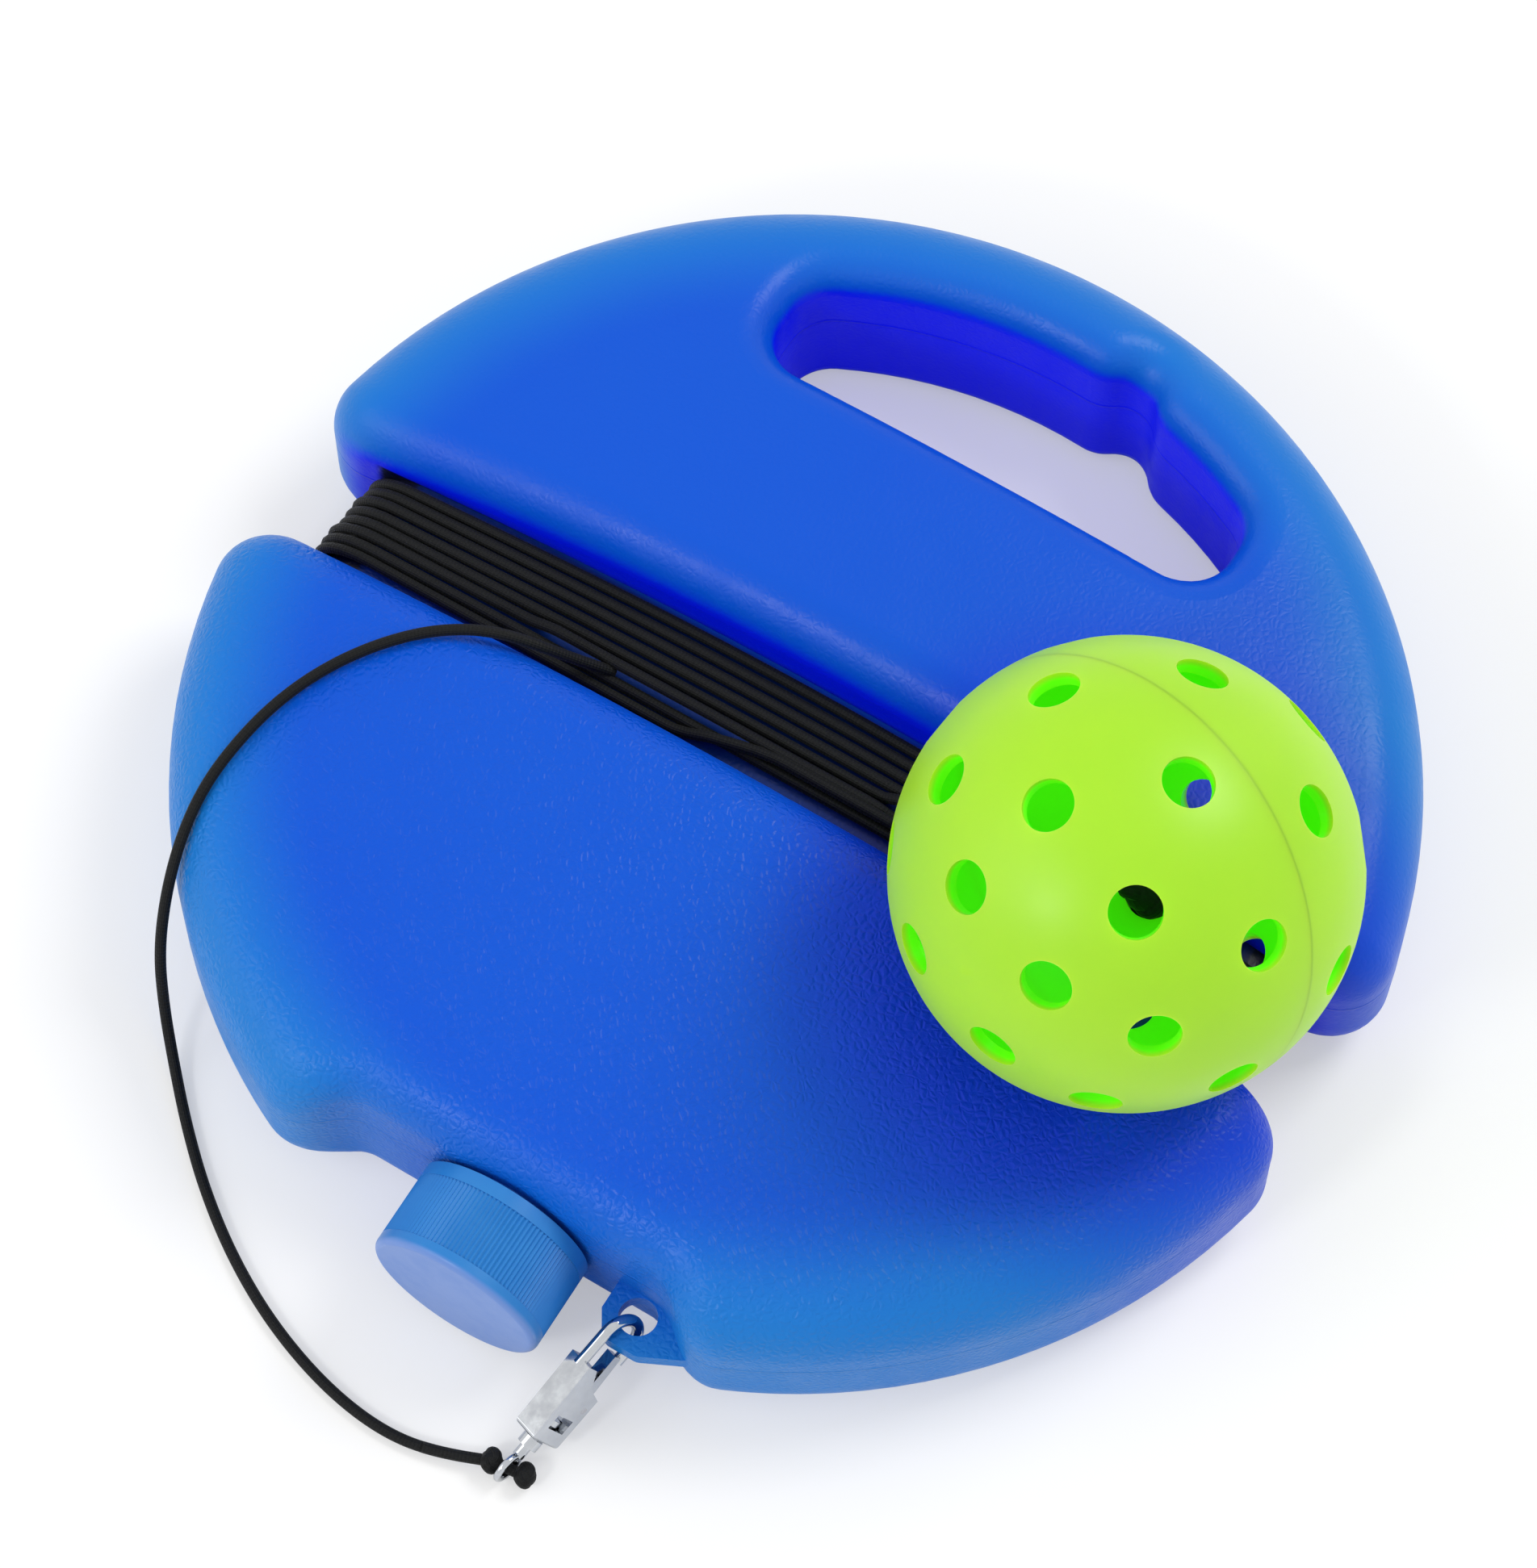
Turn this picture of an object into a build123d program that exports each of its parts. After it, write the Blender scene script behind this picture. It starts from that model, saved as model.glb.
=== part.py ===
from build123d import *
from math import atan2, cos, degrees, pi, radians, sin, sqrt, tan
import os

os.makedirs("parts", exist_ok=True)

# Frame: Z up, origin at the middle of the base's underside. X runs along the winding groove,
# +Y towards the carrying handle. All sizes in millimetres.

# ---------------------------------------------------------------- base, driving dimensions
disc_radius = 102.5        # outline of the whole base
crown_height = 42.0        # top of the base over its middle
crown_drop = 8.5           # fall of the crowned top from the middle to the rim
rim_top_round = 12.0       # soft rounding of the rim, top
rim_bottom_round = 12.0    # and underneath
shell_wall = 2.5           # thickness of the blow-moulded wall

lower_wall_y = -9.0        # groove wall of the lower lobe
lower_flare_start_x = 74.0 # from here the lower wall curves away from the groove
lower_flare_radius = 60.0
upper_wall_end_y = 9.5     # groove wall of the upper lobe at both ends
upper_wall_mid_y = 13.5    # and at its middle
wall_chord_x = 92.0        # half length over which the upper wall bows
lip_round = 9.0            # rounding of all groove edges

core_half_length = 87.0    # bar between the lobes that carries the winding
core_bottom_z = 10.5
core_height = 16.5

handle_wall_y = 57.3       # straight side of the hand hole
handle_outer_radius = 85.5 # curved side of the hand hole, about the base's centre
handle_half_length = 43.0
handle_corner_radius = 8.5
finger_notch_x = 13.5      # notch between the two finger grips
finger_notch_radius = 6.0
finger_notch_depth = 3.4   # how far it goes into the grip
finger_ridge_round = 7.5   # of the ridges on both sides of the notch
handle_top_round = 6.0
handle_bottom_round = 4.0

recess_floor_y = -87.5     # recess round the filler neck
recess_floor_half = 29.0
recess_side_angle = 40.0   # its sides, from the X direction
recess_inner_round = 9.0
recess_edge_round = 8.0

# ---------------------------------------------------------------- neck and cap
neck_z = 17.0
neck_root_radius = 12.45
neck_thread_radius = 13.7
neck_bore_radius = 10.85
neck_end_y = -101.6
thread_pitch = 3.18
thread_crest = 0.8
thread_base = 1.6
thread_turns = 2.25
thread_start_gap = 2.0     # from the neck's end to the first thread

cap_outer_radius = 15.25
cap_end_y = -104.3
cap_top_thickness = 1.4
cap_floor_gap = 1.0        # between the cap's skirt and the recess floor
cap_rib_count = 120
cap_rib_depth = 0.3
cap_band_width = 2.4       # smooth band at each end of the ribs
cap_edge_round = 1.2
cap_thread_clearance = 0.3
cap_thread_height = 1.0
seal_thickness = 1.1
seal_clearance = 0.1

# ---------------------------------------------------------------- lug
lug_bottom_z = 12.0
lug_thickness = 3.0
lug_hole_x = 26.2
lug_hole_y = -91.0
lug_hole_radius = 3.2
lug_web = 2.6              # plate left between the hole and its outer edge
lug_overlap = 1.5          # how far the plate runs into the lobe's wall
lug_shoulder_x = 10.5      # right-hand shoulder, from the hole
lug_shoulder_y = 2.2
lug_corner_round = 2.6

# ---------------------------------------------------------------- cord
cord_diameter = 1.9
winding_thickness = 1.95   # one layer of cord
winding_gap = 0.1          # to the core bar
winding_side_gap = 0.5     # to the groove walls

# ---------------------------------------------------------------- ball
ball_radius = 37.0
ball_wall = 2.4
ball_x = 62.6
ball_y = -4.9
ball_z = 66.6
ball_hole_diameter = 8.4
ball_ring_latitudes = (14.5, 42.0, 68.3)
ball_ring_counts = (8, 8, 4)
ball_pole_heading = -106.6 # where the seam's pole points, from +X
ball_pole_tilt = 67.2      # and its tilt from straight up
ball_spin = -53.7          # turn about that pole
seat_clearance = 0.3

# ---------------------------------------------------------------- snap hook
hook_reach = 27.3          # from the bow's centre to the eye's centre
hook_eye_x = 19.5
hook_eye_y = -119.8
hook_eye_z = 3.1
hook_roll = 20.0           # turn of the hook about its own length
bow_inner_radius = 2.8
bow_wire_radius = 1.0
nose_length = 3.4
body_start = 5.6
body_end = 20.4
body_half_width = 2.4
body_top = 4.3
body_bottom = -3.6
body_root_height = 2.2     # of the body where the bow joins it
body_throat_x = 8.8        # end of its sloping throat
body_throat_y = -0.2
body_heel_x = 10.0         # where its underside starts
body_tail_drop = 0.7       # its top slopes down this much to the rear
body_edge_round = 0.7
slot_roof_y = 1.9          # roof of the gate's slot, and the heights its end slopes between
slot_slope_x = 8.6
slot_end_y = -0.6
slot_end_gap = 1.0         # wall between the slot and the post's pocket
gate_tip = 2.5
gate_half_width = 1.1
gate_thickness = 1.6
gate_nose_gap = 0.15       # how far the gate's tip stands inside the nose
gate_boss_radius = 1.1
leaf_length = 7.0
leaf_thickness = 0.25
leaf_top_y = -0.65         # top of the leaf spring at its fixed end
leaf_fall = 0.05           # fall of the leaf towards the gate's tip
leaf_side_gap = 0.2
gate_pivot_x = 12.5
gate_pivot_y = -2.4
gate_pin_radius = 0.6
gate_pin_clearance = 0.06
gate_side_clearance = 0.2
post_radius = 1.0
post_clearance = 0.06
post_head_radius = 1.8
post_head_length = 1.0
pocket_start = 14.9
pocket_end = 17.6
pocket_half_height = 2.1
eye_inner_radius = 1.8
eye_wire_radius = 0.6
eye_shank_radius = 1.8
eye_shank_length = 1.8
eye_end_gap = 0.3          # between the eye's collar or head and the body
knot_radius = 2.0
knot_offset = 2.95         # of each knot from the eye's centre
knot_skew = 20.0           # of the cord through the eye, from square
knot_z = 2.4

ball_knot_radius = 4.8
ball_knot_gap = 0.2        # between the knot and the inside of the ball
lead_shift_y = 1.1         # of the cord's foot from under the knot, towards the hole's middle
lead_end_gap = 0.3         # between the cord and the knot

# Free length of the cord, by hand: out of the winding, over the lower lobe, down round its edge and
# along the ground to the hook's eye. Heights on the ground leave the cord just clear of it.
tail_route = [
    (-33.5, -2.4, 28.6),
    (-38.6, -5.2, 32.6),
    (-43.6, -7.9, 37.0),
    (-49.0, -9.9, 39.4),
    (-55.0, -12.8, 40.2),
    (-61.0, -17.4, 40.4),
    (-67.0, -24.0, 39.7),
    (-71.7, -31.6, 38.9),
    (-74.9, -40.0, 38.1),
    (-76.6, -49.0, 37.1),
    (-77.2, -57.4, 35.4),
    (-76.3, -65.6, 32.4),
    (-74.5, -73.4, 27.0),
    (-72.6, -79.6, 18.0),
    (-69.8, -84.0, 7.6),
    (-64.8, -89.6, 1.8),
    (-57.0, -97.6, 1.1),
    (-48.0, -105.6, 1.1),
    (-37.5, -113.0, 1.1),
    (-26.0, -119.0, 1.1),
    (-13.5, -123.2, 1.1),
    (-2.0, -124.8, 1.1),
    (7.5, -123.6, 1.4),
    (14.4, -121.0, 2.3),
]


def disc_half(inset):
    """Right half of the base's section, moved inwards by inset: a crowned top, a rounded rim, a flat bottom."""
    crown_radius = (disc_radius**2 + crown_drop**2) / (2 * crown_drop)
    crown_centre_z = crown_height - crown_radius
    top_r = disc_radius - rim_top_round
    top_z = crown_centre_z + sqrt((crown_radius - rim_top_round) ** 2 - top_r**2)
    slope = degrees(atan2(top_z - crown_centre_z, top_r))
    bottom_r = disc_radius - rim_bottom_round
    rim = disc_radius - inset
    with BuildSketch(Plane.XZ) as half:
        with BuildLine():
            Line((0, inset), (bottom_r, inset))
            CenterArc((bottom_r, rim_bottom_round), rim_bottom_round - inset, -90, 90)
            Line((rim, rim_bottom_round), (rim, top_z))
            CenterArc((top_r, top_z), rim_top_round - inset, 0, slope)
            CenterArc((0, crown_centre_z), crown_radius - inset, slope, 90 - slope)
            Line((0, crown_height - inset), (0, inset))
        make_face()
    return half.sketch


def upper_wall_curve(shift, reach):
    """Three points of the upper lobe's bowed groove wall, shifted towards +Y, out to x = reach."""
    bow = upper_wall_mid_y - upper_wall_end_y
    radius = (wall_chord_x**2 + bow**2) / (2 * bow)
    end_y = upper_wall_mid_y + shift - (radius - sqrt(radius**2 - reach**2))
    return (-reach, end_y), (0, upper_wall_mid_y + shift), (reach, end_y)


def lower_wall_y_at(x, shift):
    """Lower lobe's groove wall at x, shifted towards -Y."""
    run = max(0.0, x - lower_flare_start_x)
    radius = lower_flare_radius - shift
    return lower_wall_y - lower_flare_radius + sqrt(radius**2 - run**2)


def handle_outline(inset):
    """Hand hole between the straight side and the curved grip, grown by inset."""
    length = 2 * (handle_half_length + inset)
    with BuildSketch() as outline:
        Circle(handle_outer_radius + inset)
        with Locations((0, handle_wall_y - inset)):
            Rectangle(length, disc_radius, align=(Align.CENTER, Align.MIN), mode=Mode.INTERSECT)
        fillet(outline.vertices(), handle_corner_radius + inset)
        notch_reach = handle_outer_radius + finger_notch_depth - finger_notch_radius
        with Locations((finger_notch_x, sqrt(notch_reach**2 - finger_notch_x**2))):
            Circle(finger_notch_radius + inset)
        notch = outline.vertices().sort_by(Axis.Y)[-2:]
        fillet(notch, finger_ridge_round - inset)
    return outline.sketch


def recess_outline(inset):
    """Recess round the filler neck, open at the rim, grown by inset."""
    side_angle = radians(recess_side_angle)
    floor_half = recess_floor_half + inset * tan(side_angle / 2)
    floor_y = recess_floor_y + inset
    depth = floor_y + disc_radius + 20
    spread = depth / tan(side_angle)
    with BuildSketch() as outline:
        with BuildLine():
            Polyline(
                (-floor_half, floor_y),
                (floor_half, floor_y),
                (floor_half + spread, floor_y - depth),
                (-floor_half - spread, floor_y - depth),
                close=True,
            )
        make_face()
        fillet(outline.vertices().group_by(Axis.Y)[-1], recess_inner_round + inset)
    return outline.sketch


def on_rim(edge):
    """True for the edges of a cut that lie on its outline, not across it."""
    upright = abs(edge.tangent_at(0.5).Z) > 0.99
    middle = edge.center()
    return not upright or sqrt(middle.X**2 + middle.Y**2) > disc_radius - rim_top_round


def upright_faces(part, chooser):
    """The upright faces of a part whose middle passes the test."""
    return [f for f in part.faces() if abs(f.normal_at().Z) < 0.02 and chooser(f.center())]


def face_edges(faces):
    """All edges of the faces except the seams between two of them."""
    edges = ShapeList([e for f in faces for e in f.edges()])
    return ShapeList([e for e in edges if on_rim(e)])


def handle_rims(part, top):
    """The rim of the hand hole on the top or on the bottom of a part."""
    reach = handle_half_length + 4
    walls = upright_faces(part, lambda c: abs(c.X) < reach and handle_wall_y - 4 < c.Y < disc_radius - 10)
    edges = ShapeList([e for f in walls for e in f.edges() if abs(e.tangent_at(0.5).Z) < 0.9])
    return edges.filter_by(lambda e: (e.center().Z > crown_height / 2) == top)


def upper_lobe(inset):
    """Lobe with the carrying handle, moved inwards by inset."""
    reach = disc_radius + 20
    with BuildPart() as lobe:
        add(disc_half(inset))
        revolve(axis=Axis.Z)
        with BuildSketch():
            with BuildLine():
                left, middle, right = upper_wall_curve(inset, reach)
                ThreePointArc(left, middle, right)
                Polyline(right, (reach, -reach), (-reach, -reach), left)
            make_face()
        extrude(amount=crown_height + 1, mode=Mode.SUBTRACT)
        wall = upright_faces(lobe.part, lambda c: abs(c.X) < 1 and c.Y < upper_wall_mid_y + inset + 5)
        fillet(face_edges(wall), lip_round - inset)
        add(handle_outline(inset))
        extrude(amount=crown_height + 1, mode=Mode.SUBTRACT)
        fillet(handle_rims(lobe.part, top=False), handle_bottom_round - inset)
        fillet(handle_rims(lobe.part, top=True), handle_top_round - inset)
    return lobe.part


def lower_lobe(inset):
    """Lobe with the filler recess, moved inwards by inset."""
    reach = disc_radius + 5
    with BuildPart() as lobe:
        add(disc_half(inset))
        revolve(axis=Axis.Z)
        with BuildSketch():
            with BuildLine():
                start = (-reach, lower_wall_y - inset)
                knee = (lower_flare_start_x, lower_wall_y - inset)
                end = (reach, lower_wall_y_at(reach, inset))
                middle_x = (lower_flare_start_x + reach) / 2
                Line(start, knee)
                ThreePointArc(knee, (middle_x, lower_wall_y_at(middle_x, inset)), end)
                Polyline(end, (reach, reach), (-reach, reach), start)
            make_face()
        extrude(amount=crown_height + 1, mode=Mode.SUBTRACT)
        wall = upright_faces(lobe.part, lambda c: c.Y > lower_wall_y - 15)
        fillet(face_edges(wall), lip_round - inset)
        add(recess_outline(inset))
        extrude(amount=crown_height + 1, mode=Mode.SUBTRACT)
        wall = upright_faces(lobe.part, lambda c: abs(c.X) < 60 and abs(c.Y - recess_floor_y) < 12)
        fillet(face_edges(wall), recess_edge_round - inset)
    return lobe.part


def core_bar(inset):
    """Bar between the lobes that carries the winding, moved inwards by inset."""
    start = lower_wall_y - 2 - inset
    end = upper_wall_mid_y + 2 + inset
    height = core_height - 2 * inset
    with BuildPart() as bar:
        with BuildSketch(Plane.XZ.offset(-end)):
            with Locations((0, core_bottom_z + core_height / 2)):
                SlotOverall(2 * (core_half_length - inset), height)
        extrude(amount=end - start)
    return bar.part


def lug_outline():
    """Flat plate in the corner of the recess, with its hole."""
    hole_edge = lug_hole_radius + lug_web
    root_y = recess_floor_y + lug_overlap
    nose_half = lug_hole_radius
    with BuildSketch() as plate:
        with BuildLine():
            Polyline(
                (lug_hole_x - hole_edge, root_y),
                (lug_hole_x - hole_edge, lug_hole_y - nose_half / 2),
                (lug_hole_x - nose_half, lug_hole_y - hole_edge),
                (lug_hole_x + nose_half, lug_hole_y - hole_edge),
                (lug_hole_x + lug_shoulder_x, lug_hole_y - lug_shoulder_y),
                (lug_hole_x + lug_shoulder_x, root_y),
                close=True,
            )
        make_face()
        fillet(plate.vertices().group_by(Axis.Y)[0], lug_corner_round)
        with Locations((lug_hole_x, lug_hole_y)):
            Circle(lug_hole_radius, mode=Mode.SUBTRACT)
    return plate.sketch


def helical_ridge(root_radius, height, start, turns, inwards):
    """Thread ridge about Z: a trapezoid swept along a helix, sunk a little into the wall it stands on."""
    side = -1 if inwards else 1
    sunk = 0.3
    with BuildPart() as ridge:
        with BuildLine() as path:
            Helix(thread_pitch, turns * thread_pitch, root_radius, center=(0, 0, start))
        flank = Plane(origin=path.line @ 0, x_dir=(side, 0, 0), z_dir=path.line % 0)
        with BuildSketch(flank):
            Polygon(
                (-sunk, -thread_base / 2),
                (height, -thread_crest / 2),
                (height, thread_crest / 2),
                (-sunk, thread_base / 2),
                align=None,
            )
        sweep(is_frenet=True)
    return ridge.part


# ---------------------------------------------------------------- base body
neck_plane = Plane(origin=(0, recess_floor_y, neck_z), x_dir=(1, 0, 0), z_dir=(0, -1, 0))
neck_length = recess_floor_y - neck_end_y
thread_length = thread_turns * thread_pitch
thread_start = neck_length - thread_start_gap - thread_length
seat_radius = ball_radius + seat_clearance

neck_ridge = helical_ridge(
    neck_root_radius, neck_thread_radius - neck_root_radius, thread_start, thread_turns, inwards=False
)

with BuildPart() as cavity:
    add(upper_lobe(shell_wall))
    add(lower_lobe(shell_wall))
    add(core_bar(shell_wall))
    with Locations((ball_x, ball_y, ball_z)):
        Sphere(seat_radius + shell_wall, mode=Mode.SUBTRACT)

with BuildPart() as base_body:
    add(upper_lobe(0))
    add(lower_lobe(0))
    add(core_bar(0))
    with Locations((ball_x, ball_y, ball_z)):
        Sphere(seat_radius, mode=Mode.SUBTRACT)
    with BuildSketch(Plane.XY.offset(lug_bottom_z)):
        add(lug_outline())
    extrude(amount=lug_thickness)
    with BuildSketch(neck_plane.offset(-shell_wall / 2)):
        Circle(neck_root_radius)
    extrude(amount=neck_length + shell_wall / 2)
    add(neck_ridge.moved(neck_plane.location))
    add(cavity.part, mode=Mode.SUBTRACT)
    with BuildSketch(neck_plane.offset(-2 * shell_wall)):
        Circle(neck_bore_radius)
    extrude(amount=neck_length + 2 * shell_wall + 1, mode=Mode.SUBTRACT)
base_body.part.label = "base_body"

# ---------------------------------------------------------------- cap and its seal
cap_length = recess_floor_y - cap_end_y
cap_bore_radius = neck_thread_radius + cap_thread_clearance
cap_inner_top = cap_length - cap_top_thickness
cap_turns = thread_turns - 0.25

cap_ridge = helical_ridge(
    cap_bore_radius, cap_thread_height, thread_start + thread_pitch / 2, cap_turns, inwards=True
)

with BuildPart() as cap_local:
    with BuildSketch(Plane.XY.offset(cap_floor_gap)):
        Circle(cap_outer_radius)
    extrude(amount=cap_length - cap_floor_gap)
    end_edges = cap_local.edges().filter_by(GeomType.CIRCLE)
    fillet(end_edges.sort_by(Axis.Z)[-1], cap_edge_round)
    with BuildSketch(Plane.XY.offset(cap_floor_gap + cap_band_width)):
        Circle(cap_outer_radius + 1)
        with BuildLine():
            step = 2 * pi / cap_rib_count
            corners = []
            for k in range(cap_rib_count):
                corners.append((cap_outer_radius * cos(k * step), cap_outer_radius * sin(k * step)))
                valley = cap_outer_radius - cap_rib_depth
                corners.append((valley * cos((k + 0.5) * step), valley * sin((k + 0.5) * step)))
            Polyline(*corners, close=True)
        make_face(mode=Mode.SUBTRACT)
    extrude(amount=cap_length - cap_floor_gap - 2 * cap_band_width, mode=Mode.SUBTRACT)
    with BuildSketch(Plane.XY):
        Circle(cap_bore_radius)
    extrude(amount=cap_inner_top, mode=Mode.SUBTRACT)
    add(cap_ridge)
screw_cap = cap_local.part.moved(neck_plane.location)
screw_cap.label = "screw_cap"

with BuildPart() as seal_local:
    with BuildSketch(Plane.XY.offset(neck_length + seal_clearance)):
        Circle(cap_bore_radius - cap_thread_height - seal_clearance)
    extrude(amount=seal_thickness)
cap_seal = seal_local.part.moved(neck_plane.location)
cap_seal.label = "cap_seal"

# ---------------------------------------------------------------- cord winding and free length
winding_inner = core_height + 2 * winding_gap
winding_outer = winding_inner + 2 * winding_thickness
winding_top_z = core_bottom_z + core_height + winding_gap + winding_thickness

with BuildPart() as cord_winding:
    with BuildSketch(Plane.XZ.offset(-(upper_wall_mid_y + 1))):
        with Locations((0, core_bottom_z + core_height / 2)):
            SlotOverall(2 * (core_half_length + winding_gap + winding_thickness), winding_outer)
            SlotOverall(2 * (core_half_length + winding_gap), winding_inner, mode=Mode.SUBTRACT)
    extrude(amount=upper_wall_mid_y + 1 - lower_wall_y - winding_side_gap)
    with BuildSketch():
        with BuildLine():
            left, middle, right = upper_wall_curve(-winding_side_gap, disc_radius)
            ThreePointArc(left, middle, right)
            Polyline(right, (disc_radius, disc_radius), (-disc_radius, disc_radius), left)
        make_face()
    extrude(amount=crown_height, mode=Mode.SUBTRACT)
cord_winding.part.label = "cord_winding"


def bend_radii(points):
    """Largest smooth bend at each inner point: 0.45 of the shorter run over tan(half the turn)."""
    corners = [Vector(*p) for p in points]
    radii = []
    for before, corner, after in zip(corners, corners[1:], corners[2:]):
        first = corner - before
        second = after - corner
        half_turn = radians(first.get_angle(second)) / 2
        radii.append(0.45 * min(first.length, second.length) / tan(half_turn))
    return radii


tail_radii = bend_radii(tail_route)
print("tail bend radii", [round(r, 1) for r in tail_radii])

with BuildPart() as cord_tail:
    with BuildLine() as tail_path:
        FilletPolyline(*tail_route, radius=tail_radii)
    with BuildSketch(Plane(origin=tail_path.line @ 0, z_dir=tail_path.line % 0)):
        Circle(cord_diameter / 2)
    sweep()
cord_tail.part.label = "cord_tail"
tail_length = sum(edge.length for edge in tail_path.edges())
print("tail length", round(tail_length, 1), "volume", round(cord_tail.part.volume, 1))
print("section times length", round(pi * cord_diameter**2 / 4 * tail_length, 1))


# ---------------------------------------------------------------- ball
def turned(vector, heading, tilt, spin):
    """A direction in the ball's own frame, turned into the base's frame."""
    x, y, z = vector
    a, b, c = radians(heading), radians(tilt), radians(spin)
    x, y = x * cos(c) - y * sin(c), x * sin(c) + y * cos(c)
    x, z = x * cos(b) + z * sin(b), z * cos(b) - x * sin(b)
    x, y = x * cos(a) - y * sin(a), x * sin(a) + y * cos(a)
    return x, y, z


def ball_direction(vector):
    return Vector(*turned(vector, ball_pole_heading, ball_pole_tilt, ball_spin))


def hole_directions(half):
    """Directions of the holes in one half shell (+1 or -1): rings staggered by half a step."""
    directions = []
    for ring, (latitude, count) in enumerate(zip(ball_ring_latitudes, ball_ring_counts)):
        half_steps = ring % 2 if half > 0 else 1 - ring % 2
        lat = radians(latitude)
        for k in range(count):
            lon = 2 * pi * k / count + half_steps * pi / ball_ring_counts[0]
            directions.append((cos(lat) * cos(lon), cos(lat) * sin(lon), half * sin(lat)))
    return directions


ball_centre = Vector(ball_x, ball_y, ball_z)
ball_plane = Plane(origin=ball_centre, x_dir=ball_direction((1, 0, 0)), z_dir=ball_direction((0, 0, 1)))
ball_inner_radius = ball_radius - ball_wall


def ball_half(half):
    """One fused half of the perforated ball, about its pole."""
    with BuildPart() as shell:
        with BuildSketch(Plane.XZ):
            with BuildLine():
                turn = 90 * half
                CenterArc((0, 0), ball_radius, 0, turn)
                CenterArc((0, 0), ball_inner_radius, 0, turn)
                Line((ball_inner_radius, 0), (ball_radius, 0))
                Line((0, half * ball_inner_radius), (0, half * ball_radius))
            make_face()
        revolve(axis=Axis.Z)
        for direction in hole_directions(half):
            outwards = Vector(*direction)
            with BuildSketch(Plane(origin=outwards * ball_inner_radius * 0.9, z_dir=outwards)):
                Circle(ball_hole_diameter / 2)
            extrude(amount=ball_radius * 0.2, mode=Mode.SUBTRACT)
    return shell.part.moved(ball_plane.location)


ball_half_front = ball_half(1)
ball_half_front.label = "ball_half_front"
ball_half_back = ball_half(-1)
ball_half_back.label = "ball_half_back"

# The cord comes up through the hole that lies over the groove, next to the bottom of the ball.
low_holes = sorted([ball_direction(d) for d in hole_directions(-1)], key=lambda d: d.Z)[:2]
cord_hole = max(low_holes, key=lambda d: d.Y)
knot_centre = ball_centre + cord_hole * (ball_inner_radius - ball_knot_radius - ball_knot_gap)
lead_x = knot_centre.X
lead_y = knot_centre.Y + lead_shift_y
lead_top_z = knot_centre.Z - sqrt(ball_knot_radius**2 - lead_shift_y**2) - lead_end_gap

with BuildPart() as ball_knot:
    with Locations(knot_centre):
        Sphere(ball_knot_radius)
ball_knot.part.label = "ball_knot"

with BuildPart() as ball_lead:
    with BuildSketch(Plane.XY.offset(winding_top_z)):
        with Locations((lead_x, lead_y)):
            Circle(cord_diameter / 2)
    extrude(amount=lead_top_z - winding_top_z)
ball_lead.part.label = "ball_lead"

# ---------------------------------------------------------------- snap hook
eye_centre = Vector(hook_eye_x, hook_eye_y, hook_eye_z)
run_x = hook_eye_x - lug_hole_x
run_y = hook_eye_y - lug_hole_y
run_flat = sqrt(run_x**2 + run_y**2)
web_offset = lug_hole_radius + lug_web / 2
bow_centre = Vector(
    lug_hole_x + run_x / run_flat * web_offset,
    lug_hole_y + run_y / run_flat * web_offset,
    lug_bottom_z + lug_thickness / 2,
)
hook_direction = (eye_centre - bow_centre).normalized()
hook_side = Vector(hook_direction.Y, -hook_direction.X, 0).normalized()
hook_up = hook_side.cross(hook_direction)
roll = radians(hook_roll)
hook_normal = hook_side * cos(roll) - hook_up * sin(roll)
hook_plane = Plane(origin=bow_centre, x_dir=hook_direction, z_dir=hook_normal)
eye_reach = (eye_centre - bow_centre).length
bow_radius = bow_inner_radius + bow_wire_radius

with BuildPart() as hook_local:
    with BuildLine() as bow_path:
        Line((body_start + 1, bow_radius), (0, bow_radius))
        CenterArc((0, 0), bow_radius, 90, 180)
        Line((0, -bow_radius), (nose_length, -bow_radius))
    with BuildSketch(Plane(origin=bow_path.line @ 0, z_dir=bow_path.line % 0)):
        Circle(bow_wire_radius)
    sweep()
    with BuildSketch(Plane.XY.offset(-body_half_width)):
        with BuildLine():
            Polyline(
                (body_start, body_top),
                (body_start, body_top - body_root_height),
                (body_throat_x, body_throat_y),
                (body_heel_x, body_bottom),
                (body_end, body_bottom),
                (body_end, body_top - body_tail_drop),
                close=True,
            )
        make_face()
    extrude(amount=2 * body_half_width)
    fillet(hook_local.faces().sort_by(Axis.X)[-1].edges(), body_edge_round)
    with BuildSketch(Plane.XY.offset(-gate_half_width - gate_side_clearance)):
        with BuildLine():
            Polyline(
                (body_start - 1, body_bottom - 1),
                (body_start - 1, slot_roof_y),
                (slot_slope_x, slot_roof_y),
                (pocket_start - slot_end_gap, slot_end_y),
                (pocket_start - slot_end_gap, body_bottom - 1),
                close=True,
            )
        make_face()
    extrude(amount=2 * (gate_half_width + gate_side_clearance), mode=Mode.SUBTRACT)
    with BuildSketch(Plane.XY.offset(-body_half_width)):
        with Locations(((pocket_start + pocket_end) / 2, 0)):
            Rectangle(pocket_end - pocket_start, 2 * pocket_half_height)
    extrude(amount=2 * body_half_width, mode=Mode.SUBTRACT)
    with BuildSketch(Plane.YZ.offset(pocket_end - 1)):
        Circle(post_radius + post_clearance)
    extrude(amount=body_end - pocket_end + 2, mode=Mode.SUBTRACT)
    with BuildSketch(Plane.XY.offset(-body_half_width)):
        with Locations((gate_pivot_x, gate_pivot_y)):
            Circle(gate_pin_radius)
    extrude(amount=2 * body_half_width, mode=Mode.SUBTRACT)
hook_body = hook_local.part.moved(hook_plane.location)
hook_body.label = "hook_body"

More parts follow.
